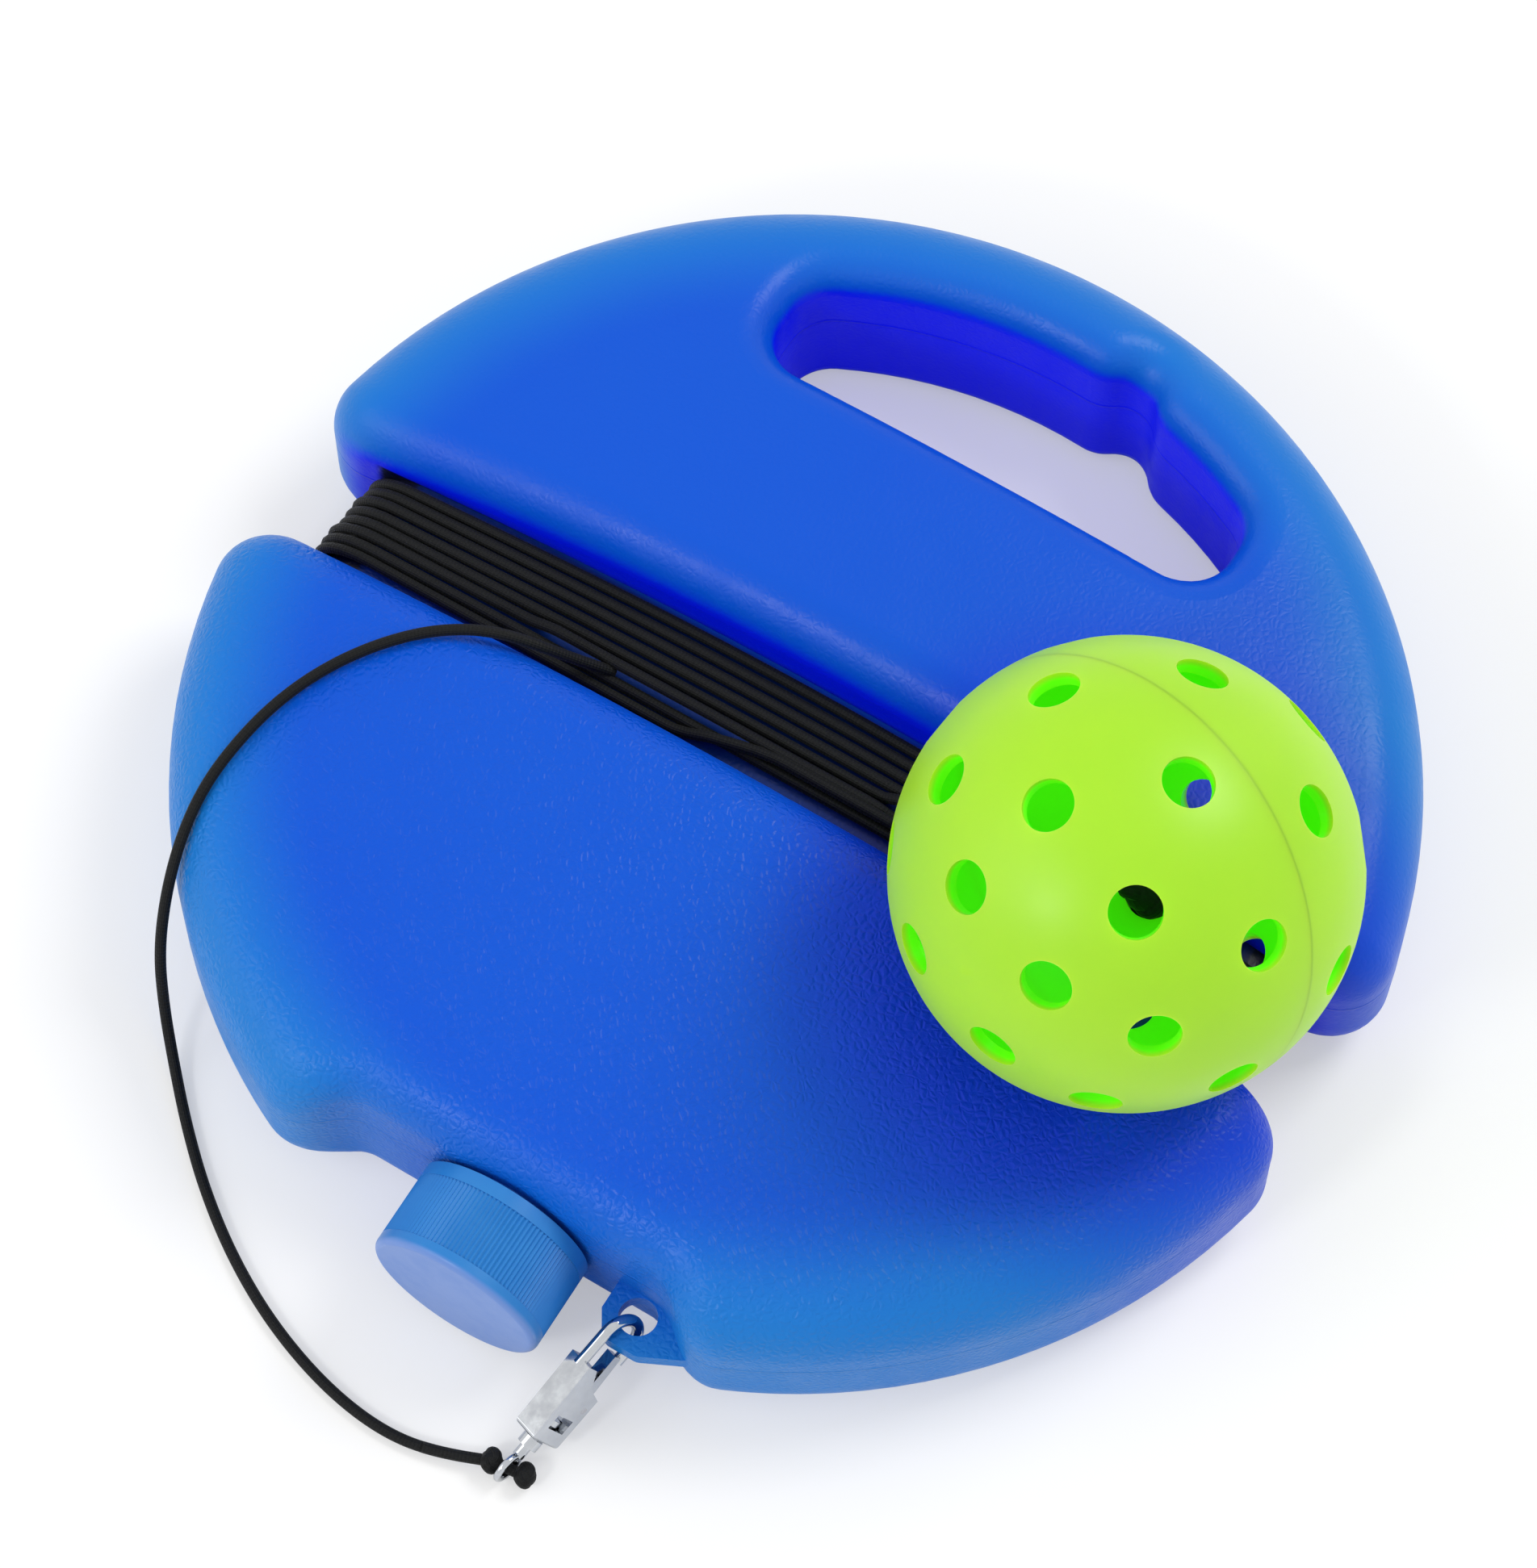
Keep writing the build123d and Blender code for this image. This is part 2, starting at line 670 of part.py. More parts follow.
with BuildPart() as gate_local:
    with BuildSketch(Plane.XY.offset(-gate_half_width)):
        with BuildLine():
            top_y = -bow_inner_radius + gate_nose_gap + gate_thickness
            Polyline(
                (gate_tip, top_y),
                (gate_tip, top_y - gate_thickness),
                (gate_pivot_x, gate_pivot_y - gate_boss_radius),
                (gate_pivot_x, gate_pivot_y + gate_boss_radius),
                close=True,
            )
        make_face()
        with Locations((gate_pivot_x, gate_pivot_y)):
            Circle(gate_boss_radius)
            Circle(gate_pin_radius + gate_pin_clearance, mode=Mode.SUBTRACT)
    extrude(amount=2 * gate_half_width)
hook_gate = gate_local.part.moved(hook_plane.location)
hook_gate.label = "hook_gate"

with BuildPart() as pin_local:
    with BuildSketch(Plane.XY.offset(-body_half_width)):
        with Locations((gate_pivot_x, gate_pivot_y)):
            Circle(gate_pin_radius)
    extrude(amount=2 * body_half_width)
gate_pin = pin_local.part.moved(hook_plane.location)
gate_pin.label = "gate_pin"

leaf_end = pocket_start - slot_end_gap
leaf_start = leaf_end - leaf_length
leaf_half_width = gate_half_width - leaf_side_gap
with BuildPart() as spring_local:
    with BuildSketch(Plane.XY.offset(-leaf_half_width)):
        with BuildLine():
            Polyline(
                (leaf_start, leaf_top_y - leaf_fall - leaf_thickness),
                (leaf_start, leaf_top_y - leaf_fall),
                (leaf_end, leaf_top_y),
                (leaf_end, leaf_top_y - leaf_thickness),
                close=True,
            )
        make_face()
    extrude(amount=2 * leaf_half_width)
gate_spring = spring_local.part.moved(hook_plane.location)
gate_spring.label = "gate_spring"

# The eye stands upright whatever the hook's roll: its ring lies in the plane of the hook's length and Z.
eye_plane = Plane(origin=bow_centre, x_dir=hook_direction, z_dir=hook_side)
ring_radius = eye_inner_radius + eye_wire_radius
head_end = pocket_end - eye_end_gap
head_start = head_end - post_head_length
shank_start = body_end + eye_end_gap

with BuildPart() as eye_local:
    with BuildSketch(Plane.XZ):
        with Locations((eye_reach + ring_radius, 0)):
            Circle(eye_wire_radius)
    revolve(axis=Axis((eye_reach, 0, 0), (0, 0, 1)))
    with BuildSketch(Plane.YZ.offset(head_start)):
        Circle(post_radius)
    extrude(amount=eye_reach - ring_radius - head_start)
    with BuildSketch(Plane.YZ.offset(shank_start)):
        Circle(eye_shank_radius)
    extrude(amount=eye_shank_length)
swivel_eye = eye_local.part.moved(eye_plane.location)
swivel_eye.label = "swivel_eye"

with BuildPart() as head_local:
    with BuildSketch(Plane.YZ.offset(head_start)):
        Circle(post_head_radius)
        Circle(post_radius, mode=Mode.SUBTRACT)
    extrude(amount=post_head_length)
swivel_head = head_local.part.moved(eye_plane.location)
swivel_head.label = "swivel_head"

# Stopper knots on both sides of the eye, joined by the cord that runs through it.
hook_flat = Vector(run_x, run_y, 0).normalized()
knot_line = hook_side * cos(radians(knot_skew)) + hook_flat * sin(radians(knot_skew))
knot_level = Vector(hook_eye_x, hook_eye_y, knot_z)
knots = [knot_level + knot_line * knot_offset, knot_level - knot_line * knot_offset]

knot_plane = Plane(origin=knots[0], z_dir=knots[1] - knots[0])
with BuildPart() as knots_local:
    with BuildSketch(Plane.XZ):
        with Locations((0, 0), (0, 2 * knot_offset)):
            Circle(knot_radius)
        Rectangle(cord_diameter, 2 * knot_offset, align=(Align.CENTER, Align.MIN))
        right_half = (Align.MIN, Align.CENTER)
        Rectangle(2 * knot_radius, 8 * knot_offset, align=right_half, mode=Mode.INTERSECT)
    revolve(axis=Axis.Z)
cord_end_knots = knots_local.part.moved(knot_plane.location)
cord_end_knots.label = "cord_end_knots"
gate_pivot = hook_plane.from_local_coords((gate_pivot_x, gate_pivot_y, 0))
print("hook turns about", bow_centre, hook_normal)
print("gate turns about", gate_pivot, -hook_normal)
print("eye turns about", eye_centre, hook_direction)
print("ball lead", lead_x, lead_y, "from", winding_top_z, "to", lead_top_z)

pieces = [
    base_body.part,
    screw_cap,
    cap_seal,
    cord_winding.part,
    cord_tail.part,
    cord_end_knots,
    ball_lead.part,
    ball_knot.part,
    ball_half_front,
    ball_half_back,
    hook_body,
    hook_gate,
    gate_pin,
    gate_spring,
    swivel_eye,
    swivel_head,
]
for piece in pieces:
    export_step(piece, f"parts/{piece.label}.step")
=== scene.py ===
import math
import random

import bmesh
import bpy
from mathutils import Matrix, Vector


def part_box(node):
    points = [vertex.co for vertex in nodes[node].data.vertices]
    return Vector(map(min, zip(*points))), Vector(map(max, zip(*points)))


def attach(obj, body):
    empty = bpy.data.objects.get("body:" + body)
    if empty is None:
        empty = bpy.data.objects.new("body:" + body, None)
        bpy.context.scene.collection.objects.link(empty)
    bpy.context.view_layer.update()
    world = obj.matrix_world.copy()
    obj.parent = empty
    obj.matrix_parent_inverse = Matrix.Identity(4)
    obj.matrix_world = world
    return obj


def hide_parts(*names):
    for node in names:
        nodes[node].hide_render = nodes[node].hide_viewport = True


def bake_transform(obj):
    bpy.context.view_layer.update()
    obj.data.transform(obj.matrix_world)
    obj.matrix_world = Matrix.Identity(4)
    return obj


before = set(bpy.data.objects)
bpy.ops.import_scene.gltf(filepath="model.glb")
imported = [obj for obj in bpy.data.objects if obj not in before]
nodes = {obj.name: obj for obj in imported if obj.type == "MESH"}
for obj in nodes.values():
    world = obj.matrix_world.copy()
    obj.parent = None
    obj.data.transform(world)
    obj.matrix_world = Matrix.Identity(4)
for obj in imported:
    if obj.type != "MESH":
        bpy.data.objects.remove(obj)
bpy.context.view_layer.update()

# Everything is in metres, in the frame of the CAD model: Z up, the base centred on the origin, the
# winding groove along X and the carrying handle towards +Y.
MM = 0.001

# ---------------------------------------------------------------- camera
AZIMUTH = math.radians(31.5)
ELEVATION = math.radians(65.9)
DISTANCE = 1.0
LENS = 139.9
AIM_RIGHT = -4.5 * MM
AIM_UP = -0.8 * MM
AIM_HEIGHT = 20 * MM

back = Vector(
    (
        math.sin(AZIMUTH) * math.cos(ELEVATION),
        -math.cos(AZIMUTH) * math.cos(ELEVATION),
        math.sin(ELEVATION),
    )
)
right = Vector((math.cos(AZIMUTH), math.sin(AZIMUTH), 0))
away = Vector((-math.sin(AZIMUTH), math.cos(AZIMUTH), 0))
aim = right * AIM_RIGHT + away * AIM_UP + Vector((0, 0, AIM_HEIGHT))
lens_data = bpy.data.cameras.new("camera")
lens_data.lens = LENS
lens_data.sensor_width = 36
camera = bpy.data.objects.new("camera", lens_data)
camera.location = aim + back * DISTANCE
camera.rotation_mode = "QUATERNION"
camera.rotation_quaternion = (-back).to_track_quat("-Z", "Y")
bpy.context.scene.collection.objects.link(camera)
bpy.context.scene.camera = camera

# ---------------------------------------------------------------- cord, measures from the CAD
CORD_DIAMETER = 1.9 * MM
CORD_RADIUS = CORD_DIAMETER / 2
CORE_END_X = 78.75 * MM      # centre of the core bar's rounded ends
CORE_MIDDLE_Z = 18.75 * MM
WIND_RADIUS = 9.3 * MM       # from there to the middle of the wound cord
TURNS = 9
FIRST_TURN_Y = -8.0 * MM
LAST_TURN_Y = 8.4 * MM

TAIL_ROUTE = [
    (-33.5, -2.4, 28.6),
    (-38.6, -5.2, 32.6),
    (-43.6, -7.9, 37.0),
    (-49.0, -9.9, 39.4),
    (-55.0, -12.8, 40.2),
    (-61.0, -17.4, 40.4),
    (-67.0, -24.0, 39.7),
    (-71.7, -31.6, 38.9),
    (-74.9, -40.0, 38.1),
    (-76.6, -49.0, 37.1),
    (-77.2, -57.4, 35.4),
    (-76.3, -65.6, 32.4),
    (-74.5, -73.4, 27.0),
    (-72.6, -79.6, 18.0),
    (-69.8, -84.0, 7.6),
    (-64.8, -89.6, 1.8),
    (-57.0, -97.6, 1.1),
    (-48.0, -105.6, 1.1),
    (-37.5, -113.0, 1.1),
    (-26.0, -119.0, 1.1),
    (-13.5, -123.2, 1.1),
    (-2.0, -124.8, 1.1),
    (7.5, -123.6, 1.4),
    (14.4, -121.0, 2.3),
]


def smooth(x):
    x = max(0.0, min(1.0, x))
    return x * x * (3 - 2 * x)


def ramp_up_down(x, start, full, leave, end):
    """0 before start, 1 from full to leave, 0 again after end, with soft changes."""
    return smooth((x - start) / (full - start)) * (1 - smooth((x - leave) / (end - leave)))


def lengths_along(points):
    total, out = 0.0, [0.0]
    for a, b in zip(points, points[1:]):
        total += (b - a).length
        out.append(total)
    return out


def respaced(points, step):
    """The same line with points at even distances of about step."""
    along = lengths_along(points)
    count = max(2, round(along[-1] / step))
    out, k = [], 0
    for i in range(count + 1):
        s = along[-1] * i / count
        while k < len(points) - 2 and along[k + 1] < s:
            k += 1
        share = (s - along[k]) / max(along[k + 1] - along[k], 1e-12)
        out.append(points[k].lerp(points[k + 1], min(1.0, share)))
    return out


def add_tube(points, radius, sides, verts, faces, uvs, capped=True):
    """Appends a tube along points, with a frame that turns as little as possible."""
    base = len(verts)
    along = lengths_along(points)
    around = 2 * math.pi * radius
    last = len(points) - 1
    normal = None
    for i, p in enumerate(points):
        tangent = (points[min(i + 1, last)] - points[max(i - 1, 0)]).normalized()
        if normal is None:
            normal = tangent.orthogonal().normalized()
        normal = (normal - tangent * normal.dot(tangent)).normalized()
        side = tangent.cross(normal)
        for k in range(sides):
            a = 2 * math.pi * k / sides
            verts.append(p + (normal * math.cos(a) + side * math.sin(a)) * radius)
    for i in range(last):
        for k in range(sides):
            n = (k + 1) % sides
            low = base + i * sides
            faces.append((low + k, low + n, low + sides + n, low + sides + k))
            u0, u1 = along[i] / around, along[i + 1] / around
            v0, v1 = k / sides, (k + 1) / sides
            uvs.append(((u0, v0), (u0, v1), (u1, v1), (u1, v0)))
    if capped:
        for i, flip in ((0, True), (last, False)):
            ring = [base + i * sides + k for k in range(sides)]
            u = along[i] / around
            faces.append(tuple(reversed(ring)) if flip else tuple(ring))
            uvs.append(tuple((u, k / sides) for k in range(sides)))


def mesh_object(name, verts, faces, uvs, material):
    mesh = bpy.data.meshes.new(name)
    mesh.from_pydata([tuple(v) for v in verts], [], faces)
    layer = mesh.uv_layers.new(name="along_around")
    flat = [c for face in uvs for corner in face for c in corner]
    layer.data.foreach_set("uv", flat)
    mesh.polygons.foreach_set("use_smooth", [True] * len(mesh.polygons))
    mesh.materials.append(material)
    mesh.update()
    made = bpy.data.objects.new(name, mesh)
    bpy.context.scene.collection.objects.link(made)
    return made


def tube(name, points, radius, sides, material):
    verts, faces, uvs = [], [], []
    add_tube(points, radius, sides, verts, faces, uvs)
    return mesh_object(name, verts, faces, uvs, material)


# ---------------------------------------------------------------- materials
def add_node(tree, kind, inputs=(), **settings):
    made = tree.nodes.new("ShaderNode" + kind)
    for key, value in settings.items():
        setattr(made, key, value)
    for socket, value in dict(inputs).items():
        if isinstance(value, bpy.types.NodeSocket):
            tree.links.new(value, made.inputs[socket])
        else:
            made.inputs[socket].default_value = value
    return made


def shader(name, **sockets):
    """A new material with a Principled shader. Returns the material, its tree and the shader."""
    material = bpy.data.materials.new(name)
    material.use_nodes = True
    principled = material.node_tree.nodes["Principled BSDF"]
    for key, value in sockets.items():
        principled.inputs[key.replace("_", " ")].default_value = value
    return material, material.node_tree, principled


def math_node(tree, operation, *values):
    made = add_node(tree, "Math", dict(enumerate(values)), operation=operation)
    return made.outputs[0]


def mapped(tree, value, low, high, to_low=0.0, to_high=1.0):
    inputs = {"Value": value, "From Min": low, "From Max": high, "To Min": to_low, "To Max": to_high}
    return add_node(tree, "MapRange", inputs, interpolation_type="SMOOTHSTEP").outputs[0]


def mixed(tree, share, one, two):
    made = add_node(tree, "Mix", data_type="RGBA")
    for socket, value in zip((made.inputs[0], made.inputs[6], made.inputs[7]), (share, one, two)):
        if isinstance(value, bpy.types.NodeSocket):
            tree.links.new(value, socket)
        else:
            socket.default_value = value
    return made.outputs[2]


def noise(tree, vector, scale, detail=3.0, roughness=0.5):
    inputs = {"Vector": vector, "Scale": scale, "Detail": detail, "Roughness": roughness}
    return add_node(tree, "TexNoise", inputs).outputs["Fac"]


def bumped(tree, height, strength, distance, normal=None):
    inputs = {"Height": height, "Strength": strength, "Distance": distance}
    if normal is not None:
        inputs["Normal"] = normal
    return add_node(tree, "Bump", inputs).outputs[0]


def wire(tree, output, principled, socket):
    tree.links.new(output, principled.inputs[socket])


def position(tree):
    """The point's place in the CAD frame, and its three coordinates."""
    vector = tree.nodes.new("ShaderNodeTexCoord").outputs["Object"]
    split = add_node(tree, "SeparateXYZ", {0: vector})
    return vector, split.outputs[0], split.outputs[1], split.outputs[2]


BASE_BLUE = (0.0005, 0.092, 0.62, 1)
DEEP_BLUE = (0.0005, 0.022, 0.62, 1)
WALL_SHADE_BLUE = (0.0003, 0.010, 0.90, 1)
CORD_GAP_SHADE_BLUE = (0.0005, 0.002, 0.020, 1)
RIM_SHEEN_BLUE = (0.010, 0.21, 0.60, 1)


def base_plastic():
    """Blow-moulded blue plastic: leather grain on the lower lobe, smoother on the upper one."""
    material, tree, principled = shader(
        "base_plastic", Roughness=0.42, Specular_IOR_Level=0.2
    )
    vector, x, y, z = position(tree)
    flat = add_node(tree, "CombineXYZ", {0: x, 1: y, 2: 0.0}).outputs[0]
    radius = add_node(tree, "VectorMath", {0: flat}, operation="LENGTH").outputs["Value"]
    # Painted sheen: the outer rim is tinted a lighter teal, standing in for the reflection of the bright
    # surroundings on the rounded edge.
    painted_rim_sheen = mapped(tree, radius, 0.078, 0.102)
    # Painted shade: upright walls inside the groove, the hand hole and the seat get a deeper blue that
    # stands in for the shade in these recesses.
    normal = add_node(tree, "SeparateXYZ", {0: tree.nodes.new("ShaderNodeTexCoord").outputs["Normal"]})
    facing_up = math_node(tree, "ABSOLUTE", normal.outputs[2])
    wall = mapped(tree, facing_up, 0.5, 0.08)
    inside = mapped(tree, radius, 0.099, 0.090)
    painted_wall_shade = math_node(tree, "MULTIPLY", wall, inside)
    painted_wall_shade = math_node(tree, "MULTIPLY", painted_wall_shade, mapped(tree, y, -0.070, -0.050))
    # Painted shade: the core bar is darkened to near black where the cord's turns cover it, so the gaps
    # between the turns read as shade.
    painted_cord_shade = mapped(tree, z, 0.0274, 0.0268)
    for coordinate, soft, full in ((x, 0.0885, 0.0865), (y, 0.0135, 0.0115)):
        size = math_node(tree, "ABSOLUTE", coordinate)
        painted_cord_shade = math_node(tree, "MULTIPLY", painted_cord_shade, mapped(tree, size, soft, full))
    painted_cord_shade = math_node(tree, "MULTIPLY", painted_cord_shade, mapped(tree, y, -0.0093, -0.0088))
    painted_cord_shade = math_node(tree, "MULTIPLY", painted_cord_shade, mapped(tree, z, 0.0095, 0.0102))
    # Painted shadow: the top is tinted a deeper blue round the foot of the ball, standing in for the ball's
    # shadow and occlusion.
    ball_foot = (BALL_CENTRE[0], BALL_CENTRE[1], 0)
    to_ball = add_node(
        tree, "VectorMath", {0: flat, 1: ball_foot}, operation="DISTANCE"
    ).outputs["Value"]
    painted_ball_shadow = mapped(tree, to_ball, 0.064, 0.034, 0.0, 0.85)
    blotch = noise(tree, vector, 16.0, 4.0, 0.6)
    tint = mixed(tree, painted_rim_sheen, BASE_BLUE, RIM_SHEEN_BLUE)
    tint = mixed(tree, math_node(tree, "MULTIPLY", blotch, 0.22), tint, DEEP_BLUE)
    tint = mixed(tree, painted_ball_shadow, tint, DEEP_BLUE)
    tint = mixed(tree, painted_wall_shade, tint, WALL_SHADE_BLUE)
    tint = mixed(tree, painted_cord_shade, tint, CORD_GAP_SHADE_BLUE)
    wire(tree, tint, principled, "Base Color")
    # Grain: small rounded cells with finer noise in them.
    warp = add_node(tree, "TexNoise", {"Vector": vector, "Scale": 260.0, "Detail": 2.0}).outputs["Color"]
    bent = add_node(
        tree, "VectorMath", {0: warp, "Scale": 0.0022}, operation="SCALE"
    ).outputs[0]
    grained = add_node(tree, "VectorMath", {0: vector, 1: bent}, operation="ADD").outputs[0]
    cell_inputs = {"Vector": grained, "Scale": 760.0, "Randomness": 1.0}
    cells = add_node(tree, "TexVoronoi", cell_inputs, feature="DISTANCE_TO_EDGE").outputs["Distance"]
    cell_height = mapped(tree, cells, 0.0, 0.35)
    fine = noise(tree, vector, 1500.0, 3.0, 0.6)
    grain = math_node(tree, "ADD", cell_height, math_node(tree, "MULTIPLY", fine, 0.7))
    lower = mapped(tree, y, -0.004, -0.014, 0.22, 1.0)
    top_side = mapped(tree, z, 0.004, 0.030, 0.35, 1.0)
    amount = math_node(tree, "MULTIPLY", lower, top_side)
    height = math_node(tree, "MULTIPLY", grain, amount)
    swell = noise(tree, vector, 34.0, 2.0, 0.4)
    relief = bumped(tree, swell, 0.25, 0.0012)
    relief = bumped(tree, height, 0.5, 0.0002, relief)
    # The parting line of the mould runs round at mid-height.
    from_line = math_node(tree, "ABSOLUTE", math_node(tree, "SUBTRACT", z, PARTING_Z))
    line = mapped(tree, from_line, 0.00045, 0.0001)
    relief = bumped(tree, line, 0.6, 0.00025, relief)
    wire(tree, relief, principled, "Normal")
    scuffs = noise(tree, vector, 90.0, 6.0, 0.7)
    worn = mapped(tree, scuffs, 0.35, 0.75, 0.30, 0.44)
    wire(tree, worn, principled, "Roughness")
    return material


def cap_plastic():
    """Satin injection-moulded plastic, a little lighter than the base."""
    material, tree, principled = shader(
        "cap_plastic", Coat_Weight=0.08, Coat_Roughness=0.25, Specular_IOR_Level=0.25
    )
    vector, x, y, z = position(tree)
    cloud = noise(tree, vector, 120.0, 4.0, 0.6)
    end_face = mapped(tree, y, -0.1030, -0.1041)
    tint = mixed(tree, cloud, (0.012, 0.165, 0.52, 1), (0.035, 0.235, 0.60, 1))
    tint = mixed(tree, end_face, tint, (0.14, 0.26, 0.62, 1))
    wire(tree, tint, principled, "Base Color")
    wire(tree, mapped(tree, cloud, 0.3, 0.7, 0.28, 0.42), principled, "Roughness")
    scratches = noise(tree, vector, 900.0, 4.0, 0.7)
    wire(tree, bumped(tree, scratches, 0.15, 0.00008), principled, "Normal")
    return material


def ball_plastic():
    """Rotomoulded yellow-green plastic that lets some light through."""
    material, tree, principled = shader(
        "ball_plastic",
        Roughness=0.42,
        Subsurface_Weight=0.5,
        Subsurface_Radius=(0.9, 1.0, 0.25),
        Subsurface_Scale=0.004,
        Coat_Weight=0.05,
        Coat_Roughness=0.4,
        Specular_IOR_Level=0.35,
        Emission_Strength=PAINTED_INNER_GLOW,
    )
    vector, x, y, z = position(tree)
    from_centre = add_node(
        tree, "VectorMath", {0: vector, 1: BALL_CENTRE}, operation="SUBTRACT"
    ).outputs[0]
    depth = add_node(tree, "VectorMath", {0: from_centre}, operation="LENGTH").outputs["Value"]
    inside = mapped(tree, depth, BALL_RADIUS - 0.0002, BALL_RADIUS - 0.0016)
    cloud = noise(tree, vector, 45.0, 4.0, 0.55)
    outer = mixed(tree, cloud, (0.36, 0.70, 0.014, 1), (0.42, 0.76, 0.024, 1))
    # Painted light: the inside of the shell is a lighter green, standing in for light through the thin
    # wall.
    tint = mixed(tree, inside, outer, (0.16, 0.92, 0.002, 1))
    # Fused seam between the halves.
    across = add_node(
        tree, "VectorMath", {0: from_centre, 1: tuple(BALL_POLE)}, operation="DOT_PRODUCT"
    ).outputs["Value"]
    seam = mapped(tree, math_node(tree, "ABSOLUTE", across), 0.0005, 0.0001)
    tint = mixed(tree, math_node(tree, "MULTIPLY", seam, 0.06), tint, (0.16, 0.6, 0.01, 1))
    wire(tree, tint, principled, "Base Color")
    # Painted glow: the inside emits green light, standing in for light through the thin wall.
    painted_glow = mixed(tree, inside, (0, 0, 0, 1), (0.10, 0.70, 0.001, 1))
    wire(tree, painted_glow, principled, "Emission Color")
    fine = noise(tree, vector, 700.0, 3.0, 0.5)
    relief = bumped(tree, fine, 0.12, 0.00008)
    relief = bumped(tree, seam, 0.1, 0.00008, relief)
    wire(tree, relief, principled, "Normal")
    wire(tree, mapped(tree, cloud, 0.3, 0.7, 0.36, 0.5), principled, "Roughness")
    return material


def braided_cord():
    """Black braided cover. The pattern follows the tube: u along it, v round it, in girths."""
    material, tree, principled = shader(
        "braided_cord", Roughness=0.62, Sheen_Weight=0.04, Sheen_Roughness=0.4, Specular_IOR_Level=0.2
    )
    uv = tree.nodes.new("ShaderNodeTexCoord").outputs["UV"]
    split = add_node(tree, "SeparateXYZ", {0: uv})
    u = math_node(tree, "MULTIPLY", split.outputs[0], 0.6)
    v = split.outputs[1]
    turns = BRAID_CARRIERS * 2 * math.pi
    one = math_node(tree, "SINE", math_node(tree, "MULTIPLY", math_node(tree, "ADD", u, v), turns))
    two = math_node(tree, "SINE", math_node(tree, "MULTIPLY", math_node(tree, "SUBTRACT", u, v), turns))
    weave = mapped(tree, math_node(tree, "MULTIPLY", one, two), -0.8, 0.8)
    fluff = noise(tree, uv, 14.0, 5.0, 0.7)
    shade = math_node(tree, "MULTIPLY", weave, fluff)
    tint = mixed(tree, shade, (0.0008, 0.001, 0.0012, 1), (0.007, 0.008, 0.009, 1))
    wire(tree, tint, principled, "Base Color")
    relief = bumped(tree, weave, 0.55, 0.00012)
    relief = bumped(tree, fluff, 0.25, 0.00005, relief)
    wire(tree, relief, principled, "Normal")
    wire(tree, mapped(tree, fluff, 0.3, 0.7, 0.5, 0.75), principled, "Roughness")
    return material


def metal(name, bright, dull, smoothest, roughest, scale):
    """Plated or bare metal with cloudy tarnish and fine marks."""
    material, tree, principled = shader(name, Metallic=1.0)
    vector, x, y, z = position(tree)
    cloud = noise(tree, vector, scale, 5.0, 0.6)
    wire(tree, mixed(tree, cloud, dull, bright), principled, "Base Color")
    wire(tree, mapped(tree, cloud, 0.3, 0.7, smoothest, roughest), principled, "Roughness")
    marks = noise(tree, vector, scale * 6, 3.0, 0.6)
    wire(tree, bumped(tree, marks, 0.05, 0.00004), principled, "Normal")
    return material


def foam():
    """Pale closed-cell foam of the seal."""
    material, tree, principled = shader("seal_foam", Roughness=0.85)
    vector, x, y, z = position(tree)
    pores = add_node(tree, "TexVoronoi", {"Vector": vector, "Scale": 1400.0}).outputs["Distance"]
    wire(tree, mixed(tree, pores, (0.62, 0.62, 0.58, 1), (0.82, 0.82, 0.78, 1)), principled, "Base Color")
    wire(tree, bumped(tree, pores, 0.5, 0.0002), principled, "Normal")
    return material


PARTING_Z = 0.0205
BRAID_CARRIERS = 8
PAINTED_INNER_GLOW = 0.20            # painted glow by emission, standing in for light that comes through the ball's thin wall
BALL_CENTRE = (0.0626, -0.0049, 0.0666)
BALL_RADIUS = 0.037
POLE_HEADING = math.radians(-106.6)
POLE_TILT = math.radians(67.2)
BALL_POLE = Vector(
    (
        math.sin(POLE_TILT) * math.cos(POLE_HEADING),
        math.sin(POLE_TILT) * math.sin(POLE_HEADING),
        math.cos(POLE_TILT),
    )
)

blue = base_plastic()
cap_blue = cap_plastic()
green = ball_plastic()
black = braided_cord()
chrome = metal("hook_chrome", (0.66, 0.68, 0.70, 1), (0.40, 0.42, 0.46, 1), 0.04, 0.14, 220.0)
steel = metal("spring_steel", (0.60, 0.60, 0.62, 1), (0.42, 0.42, 0.44, 1), 0.25, 0.4, 900.0)
pale_foam = foam()

for node_name, material in (
    ("base_body", blue),
    ("screw_cap", cap_blue),
    ("cap_seal", pale_foam),
    ("ball_half_front", green),
    ("ball_half_back", green),
    ("hook_body", chrome),
    ("hook_gate", chrome),
    ("gate_pin", steel),
    ("gate_spring", steel),
    ("swivel_eye", chrome),
    ("swivel_head", chrome),
):
    mesh = nodes[node_name].data
    mesh.materials.clear()
    mesh.materials.append(material)

# The hook is a casting, so its edges are rounded.
HOOK_EDGE = 0.3 * MM
for node_name in ("hook_body", "hook_gate"):
    edge = nodes[node_name].modifiers.new("edge", "BEVEL")
    edge.width = HOOK_EDGE
    edge.segments = 3
    edge.limit_method = "ANGLE"
    edge.angle_limit = math.radians(40)

# ---------------------------------------------------------------- gate spring, a copy of the leaf with finer divisions
leaf = bpy.data.objects.new("leaf_spring", nodes["gate_spring"].data.copy())
bpy.context.scene.collection.objects.link(leaf)
shape = bmesh.new()
shape.from_mesh(leaf.data)
bmesh.ops.subdivide_edges(shape, edges=shape.edges[:], cuts=7, use_grid_fill=True)
shape.to_mesh(leaf.data)
shape.free()
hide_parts("gate_spring")
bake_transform(leaf)

# ---------------------------------------------------------------- free length of the cord
TAIL_END_SHARE = 0.955       # where the last stretch, up to the knot at the eye, starts


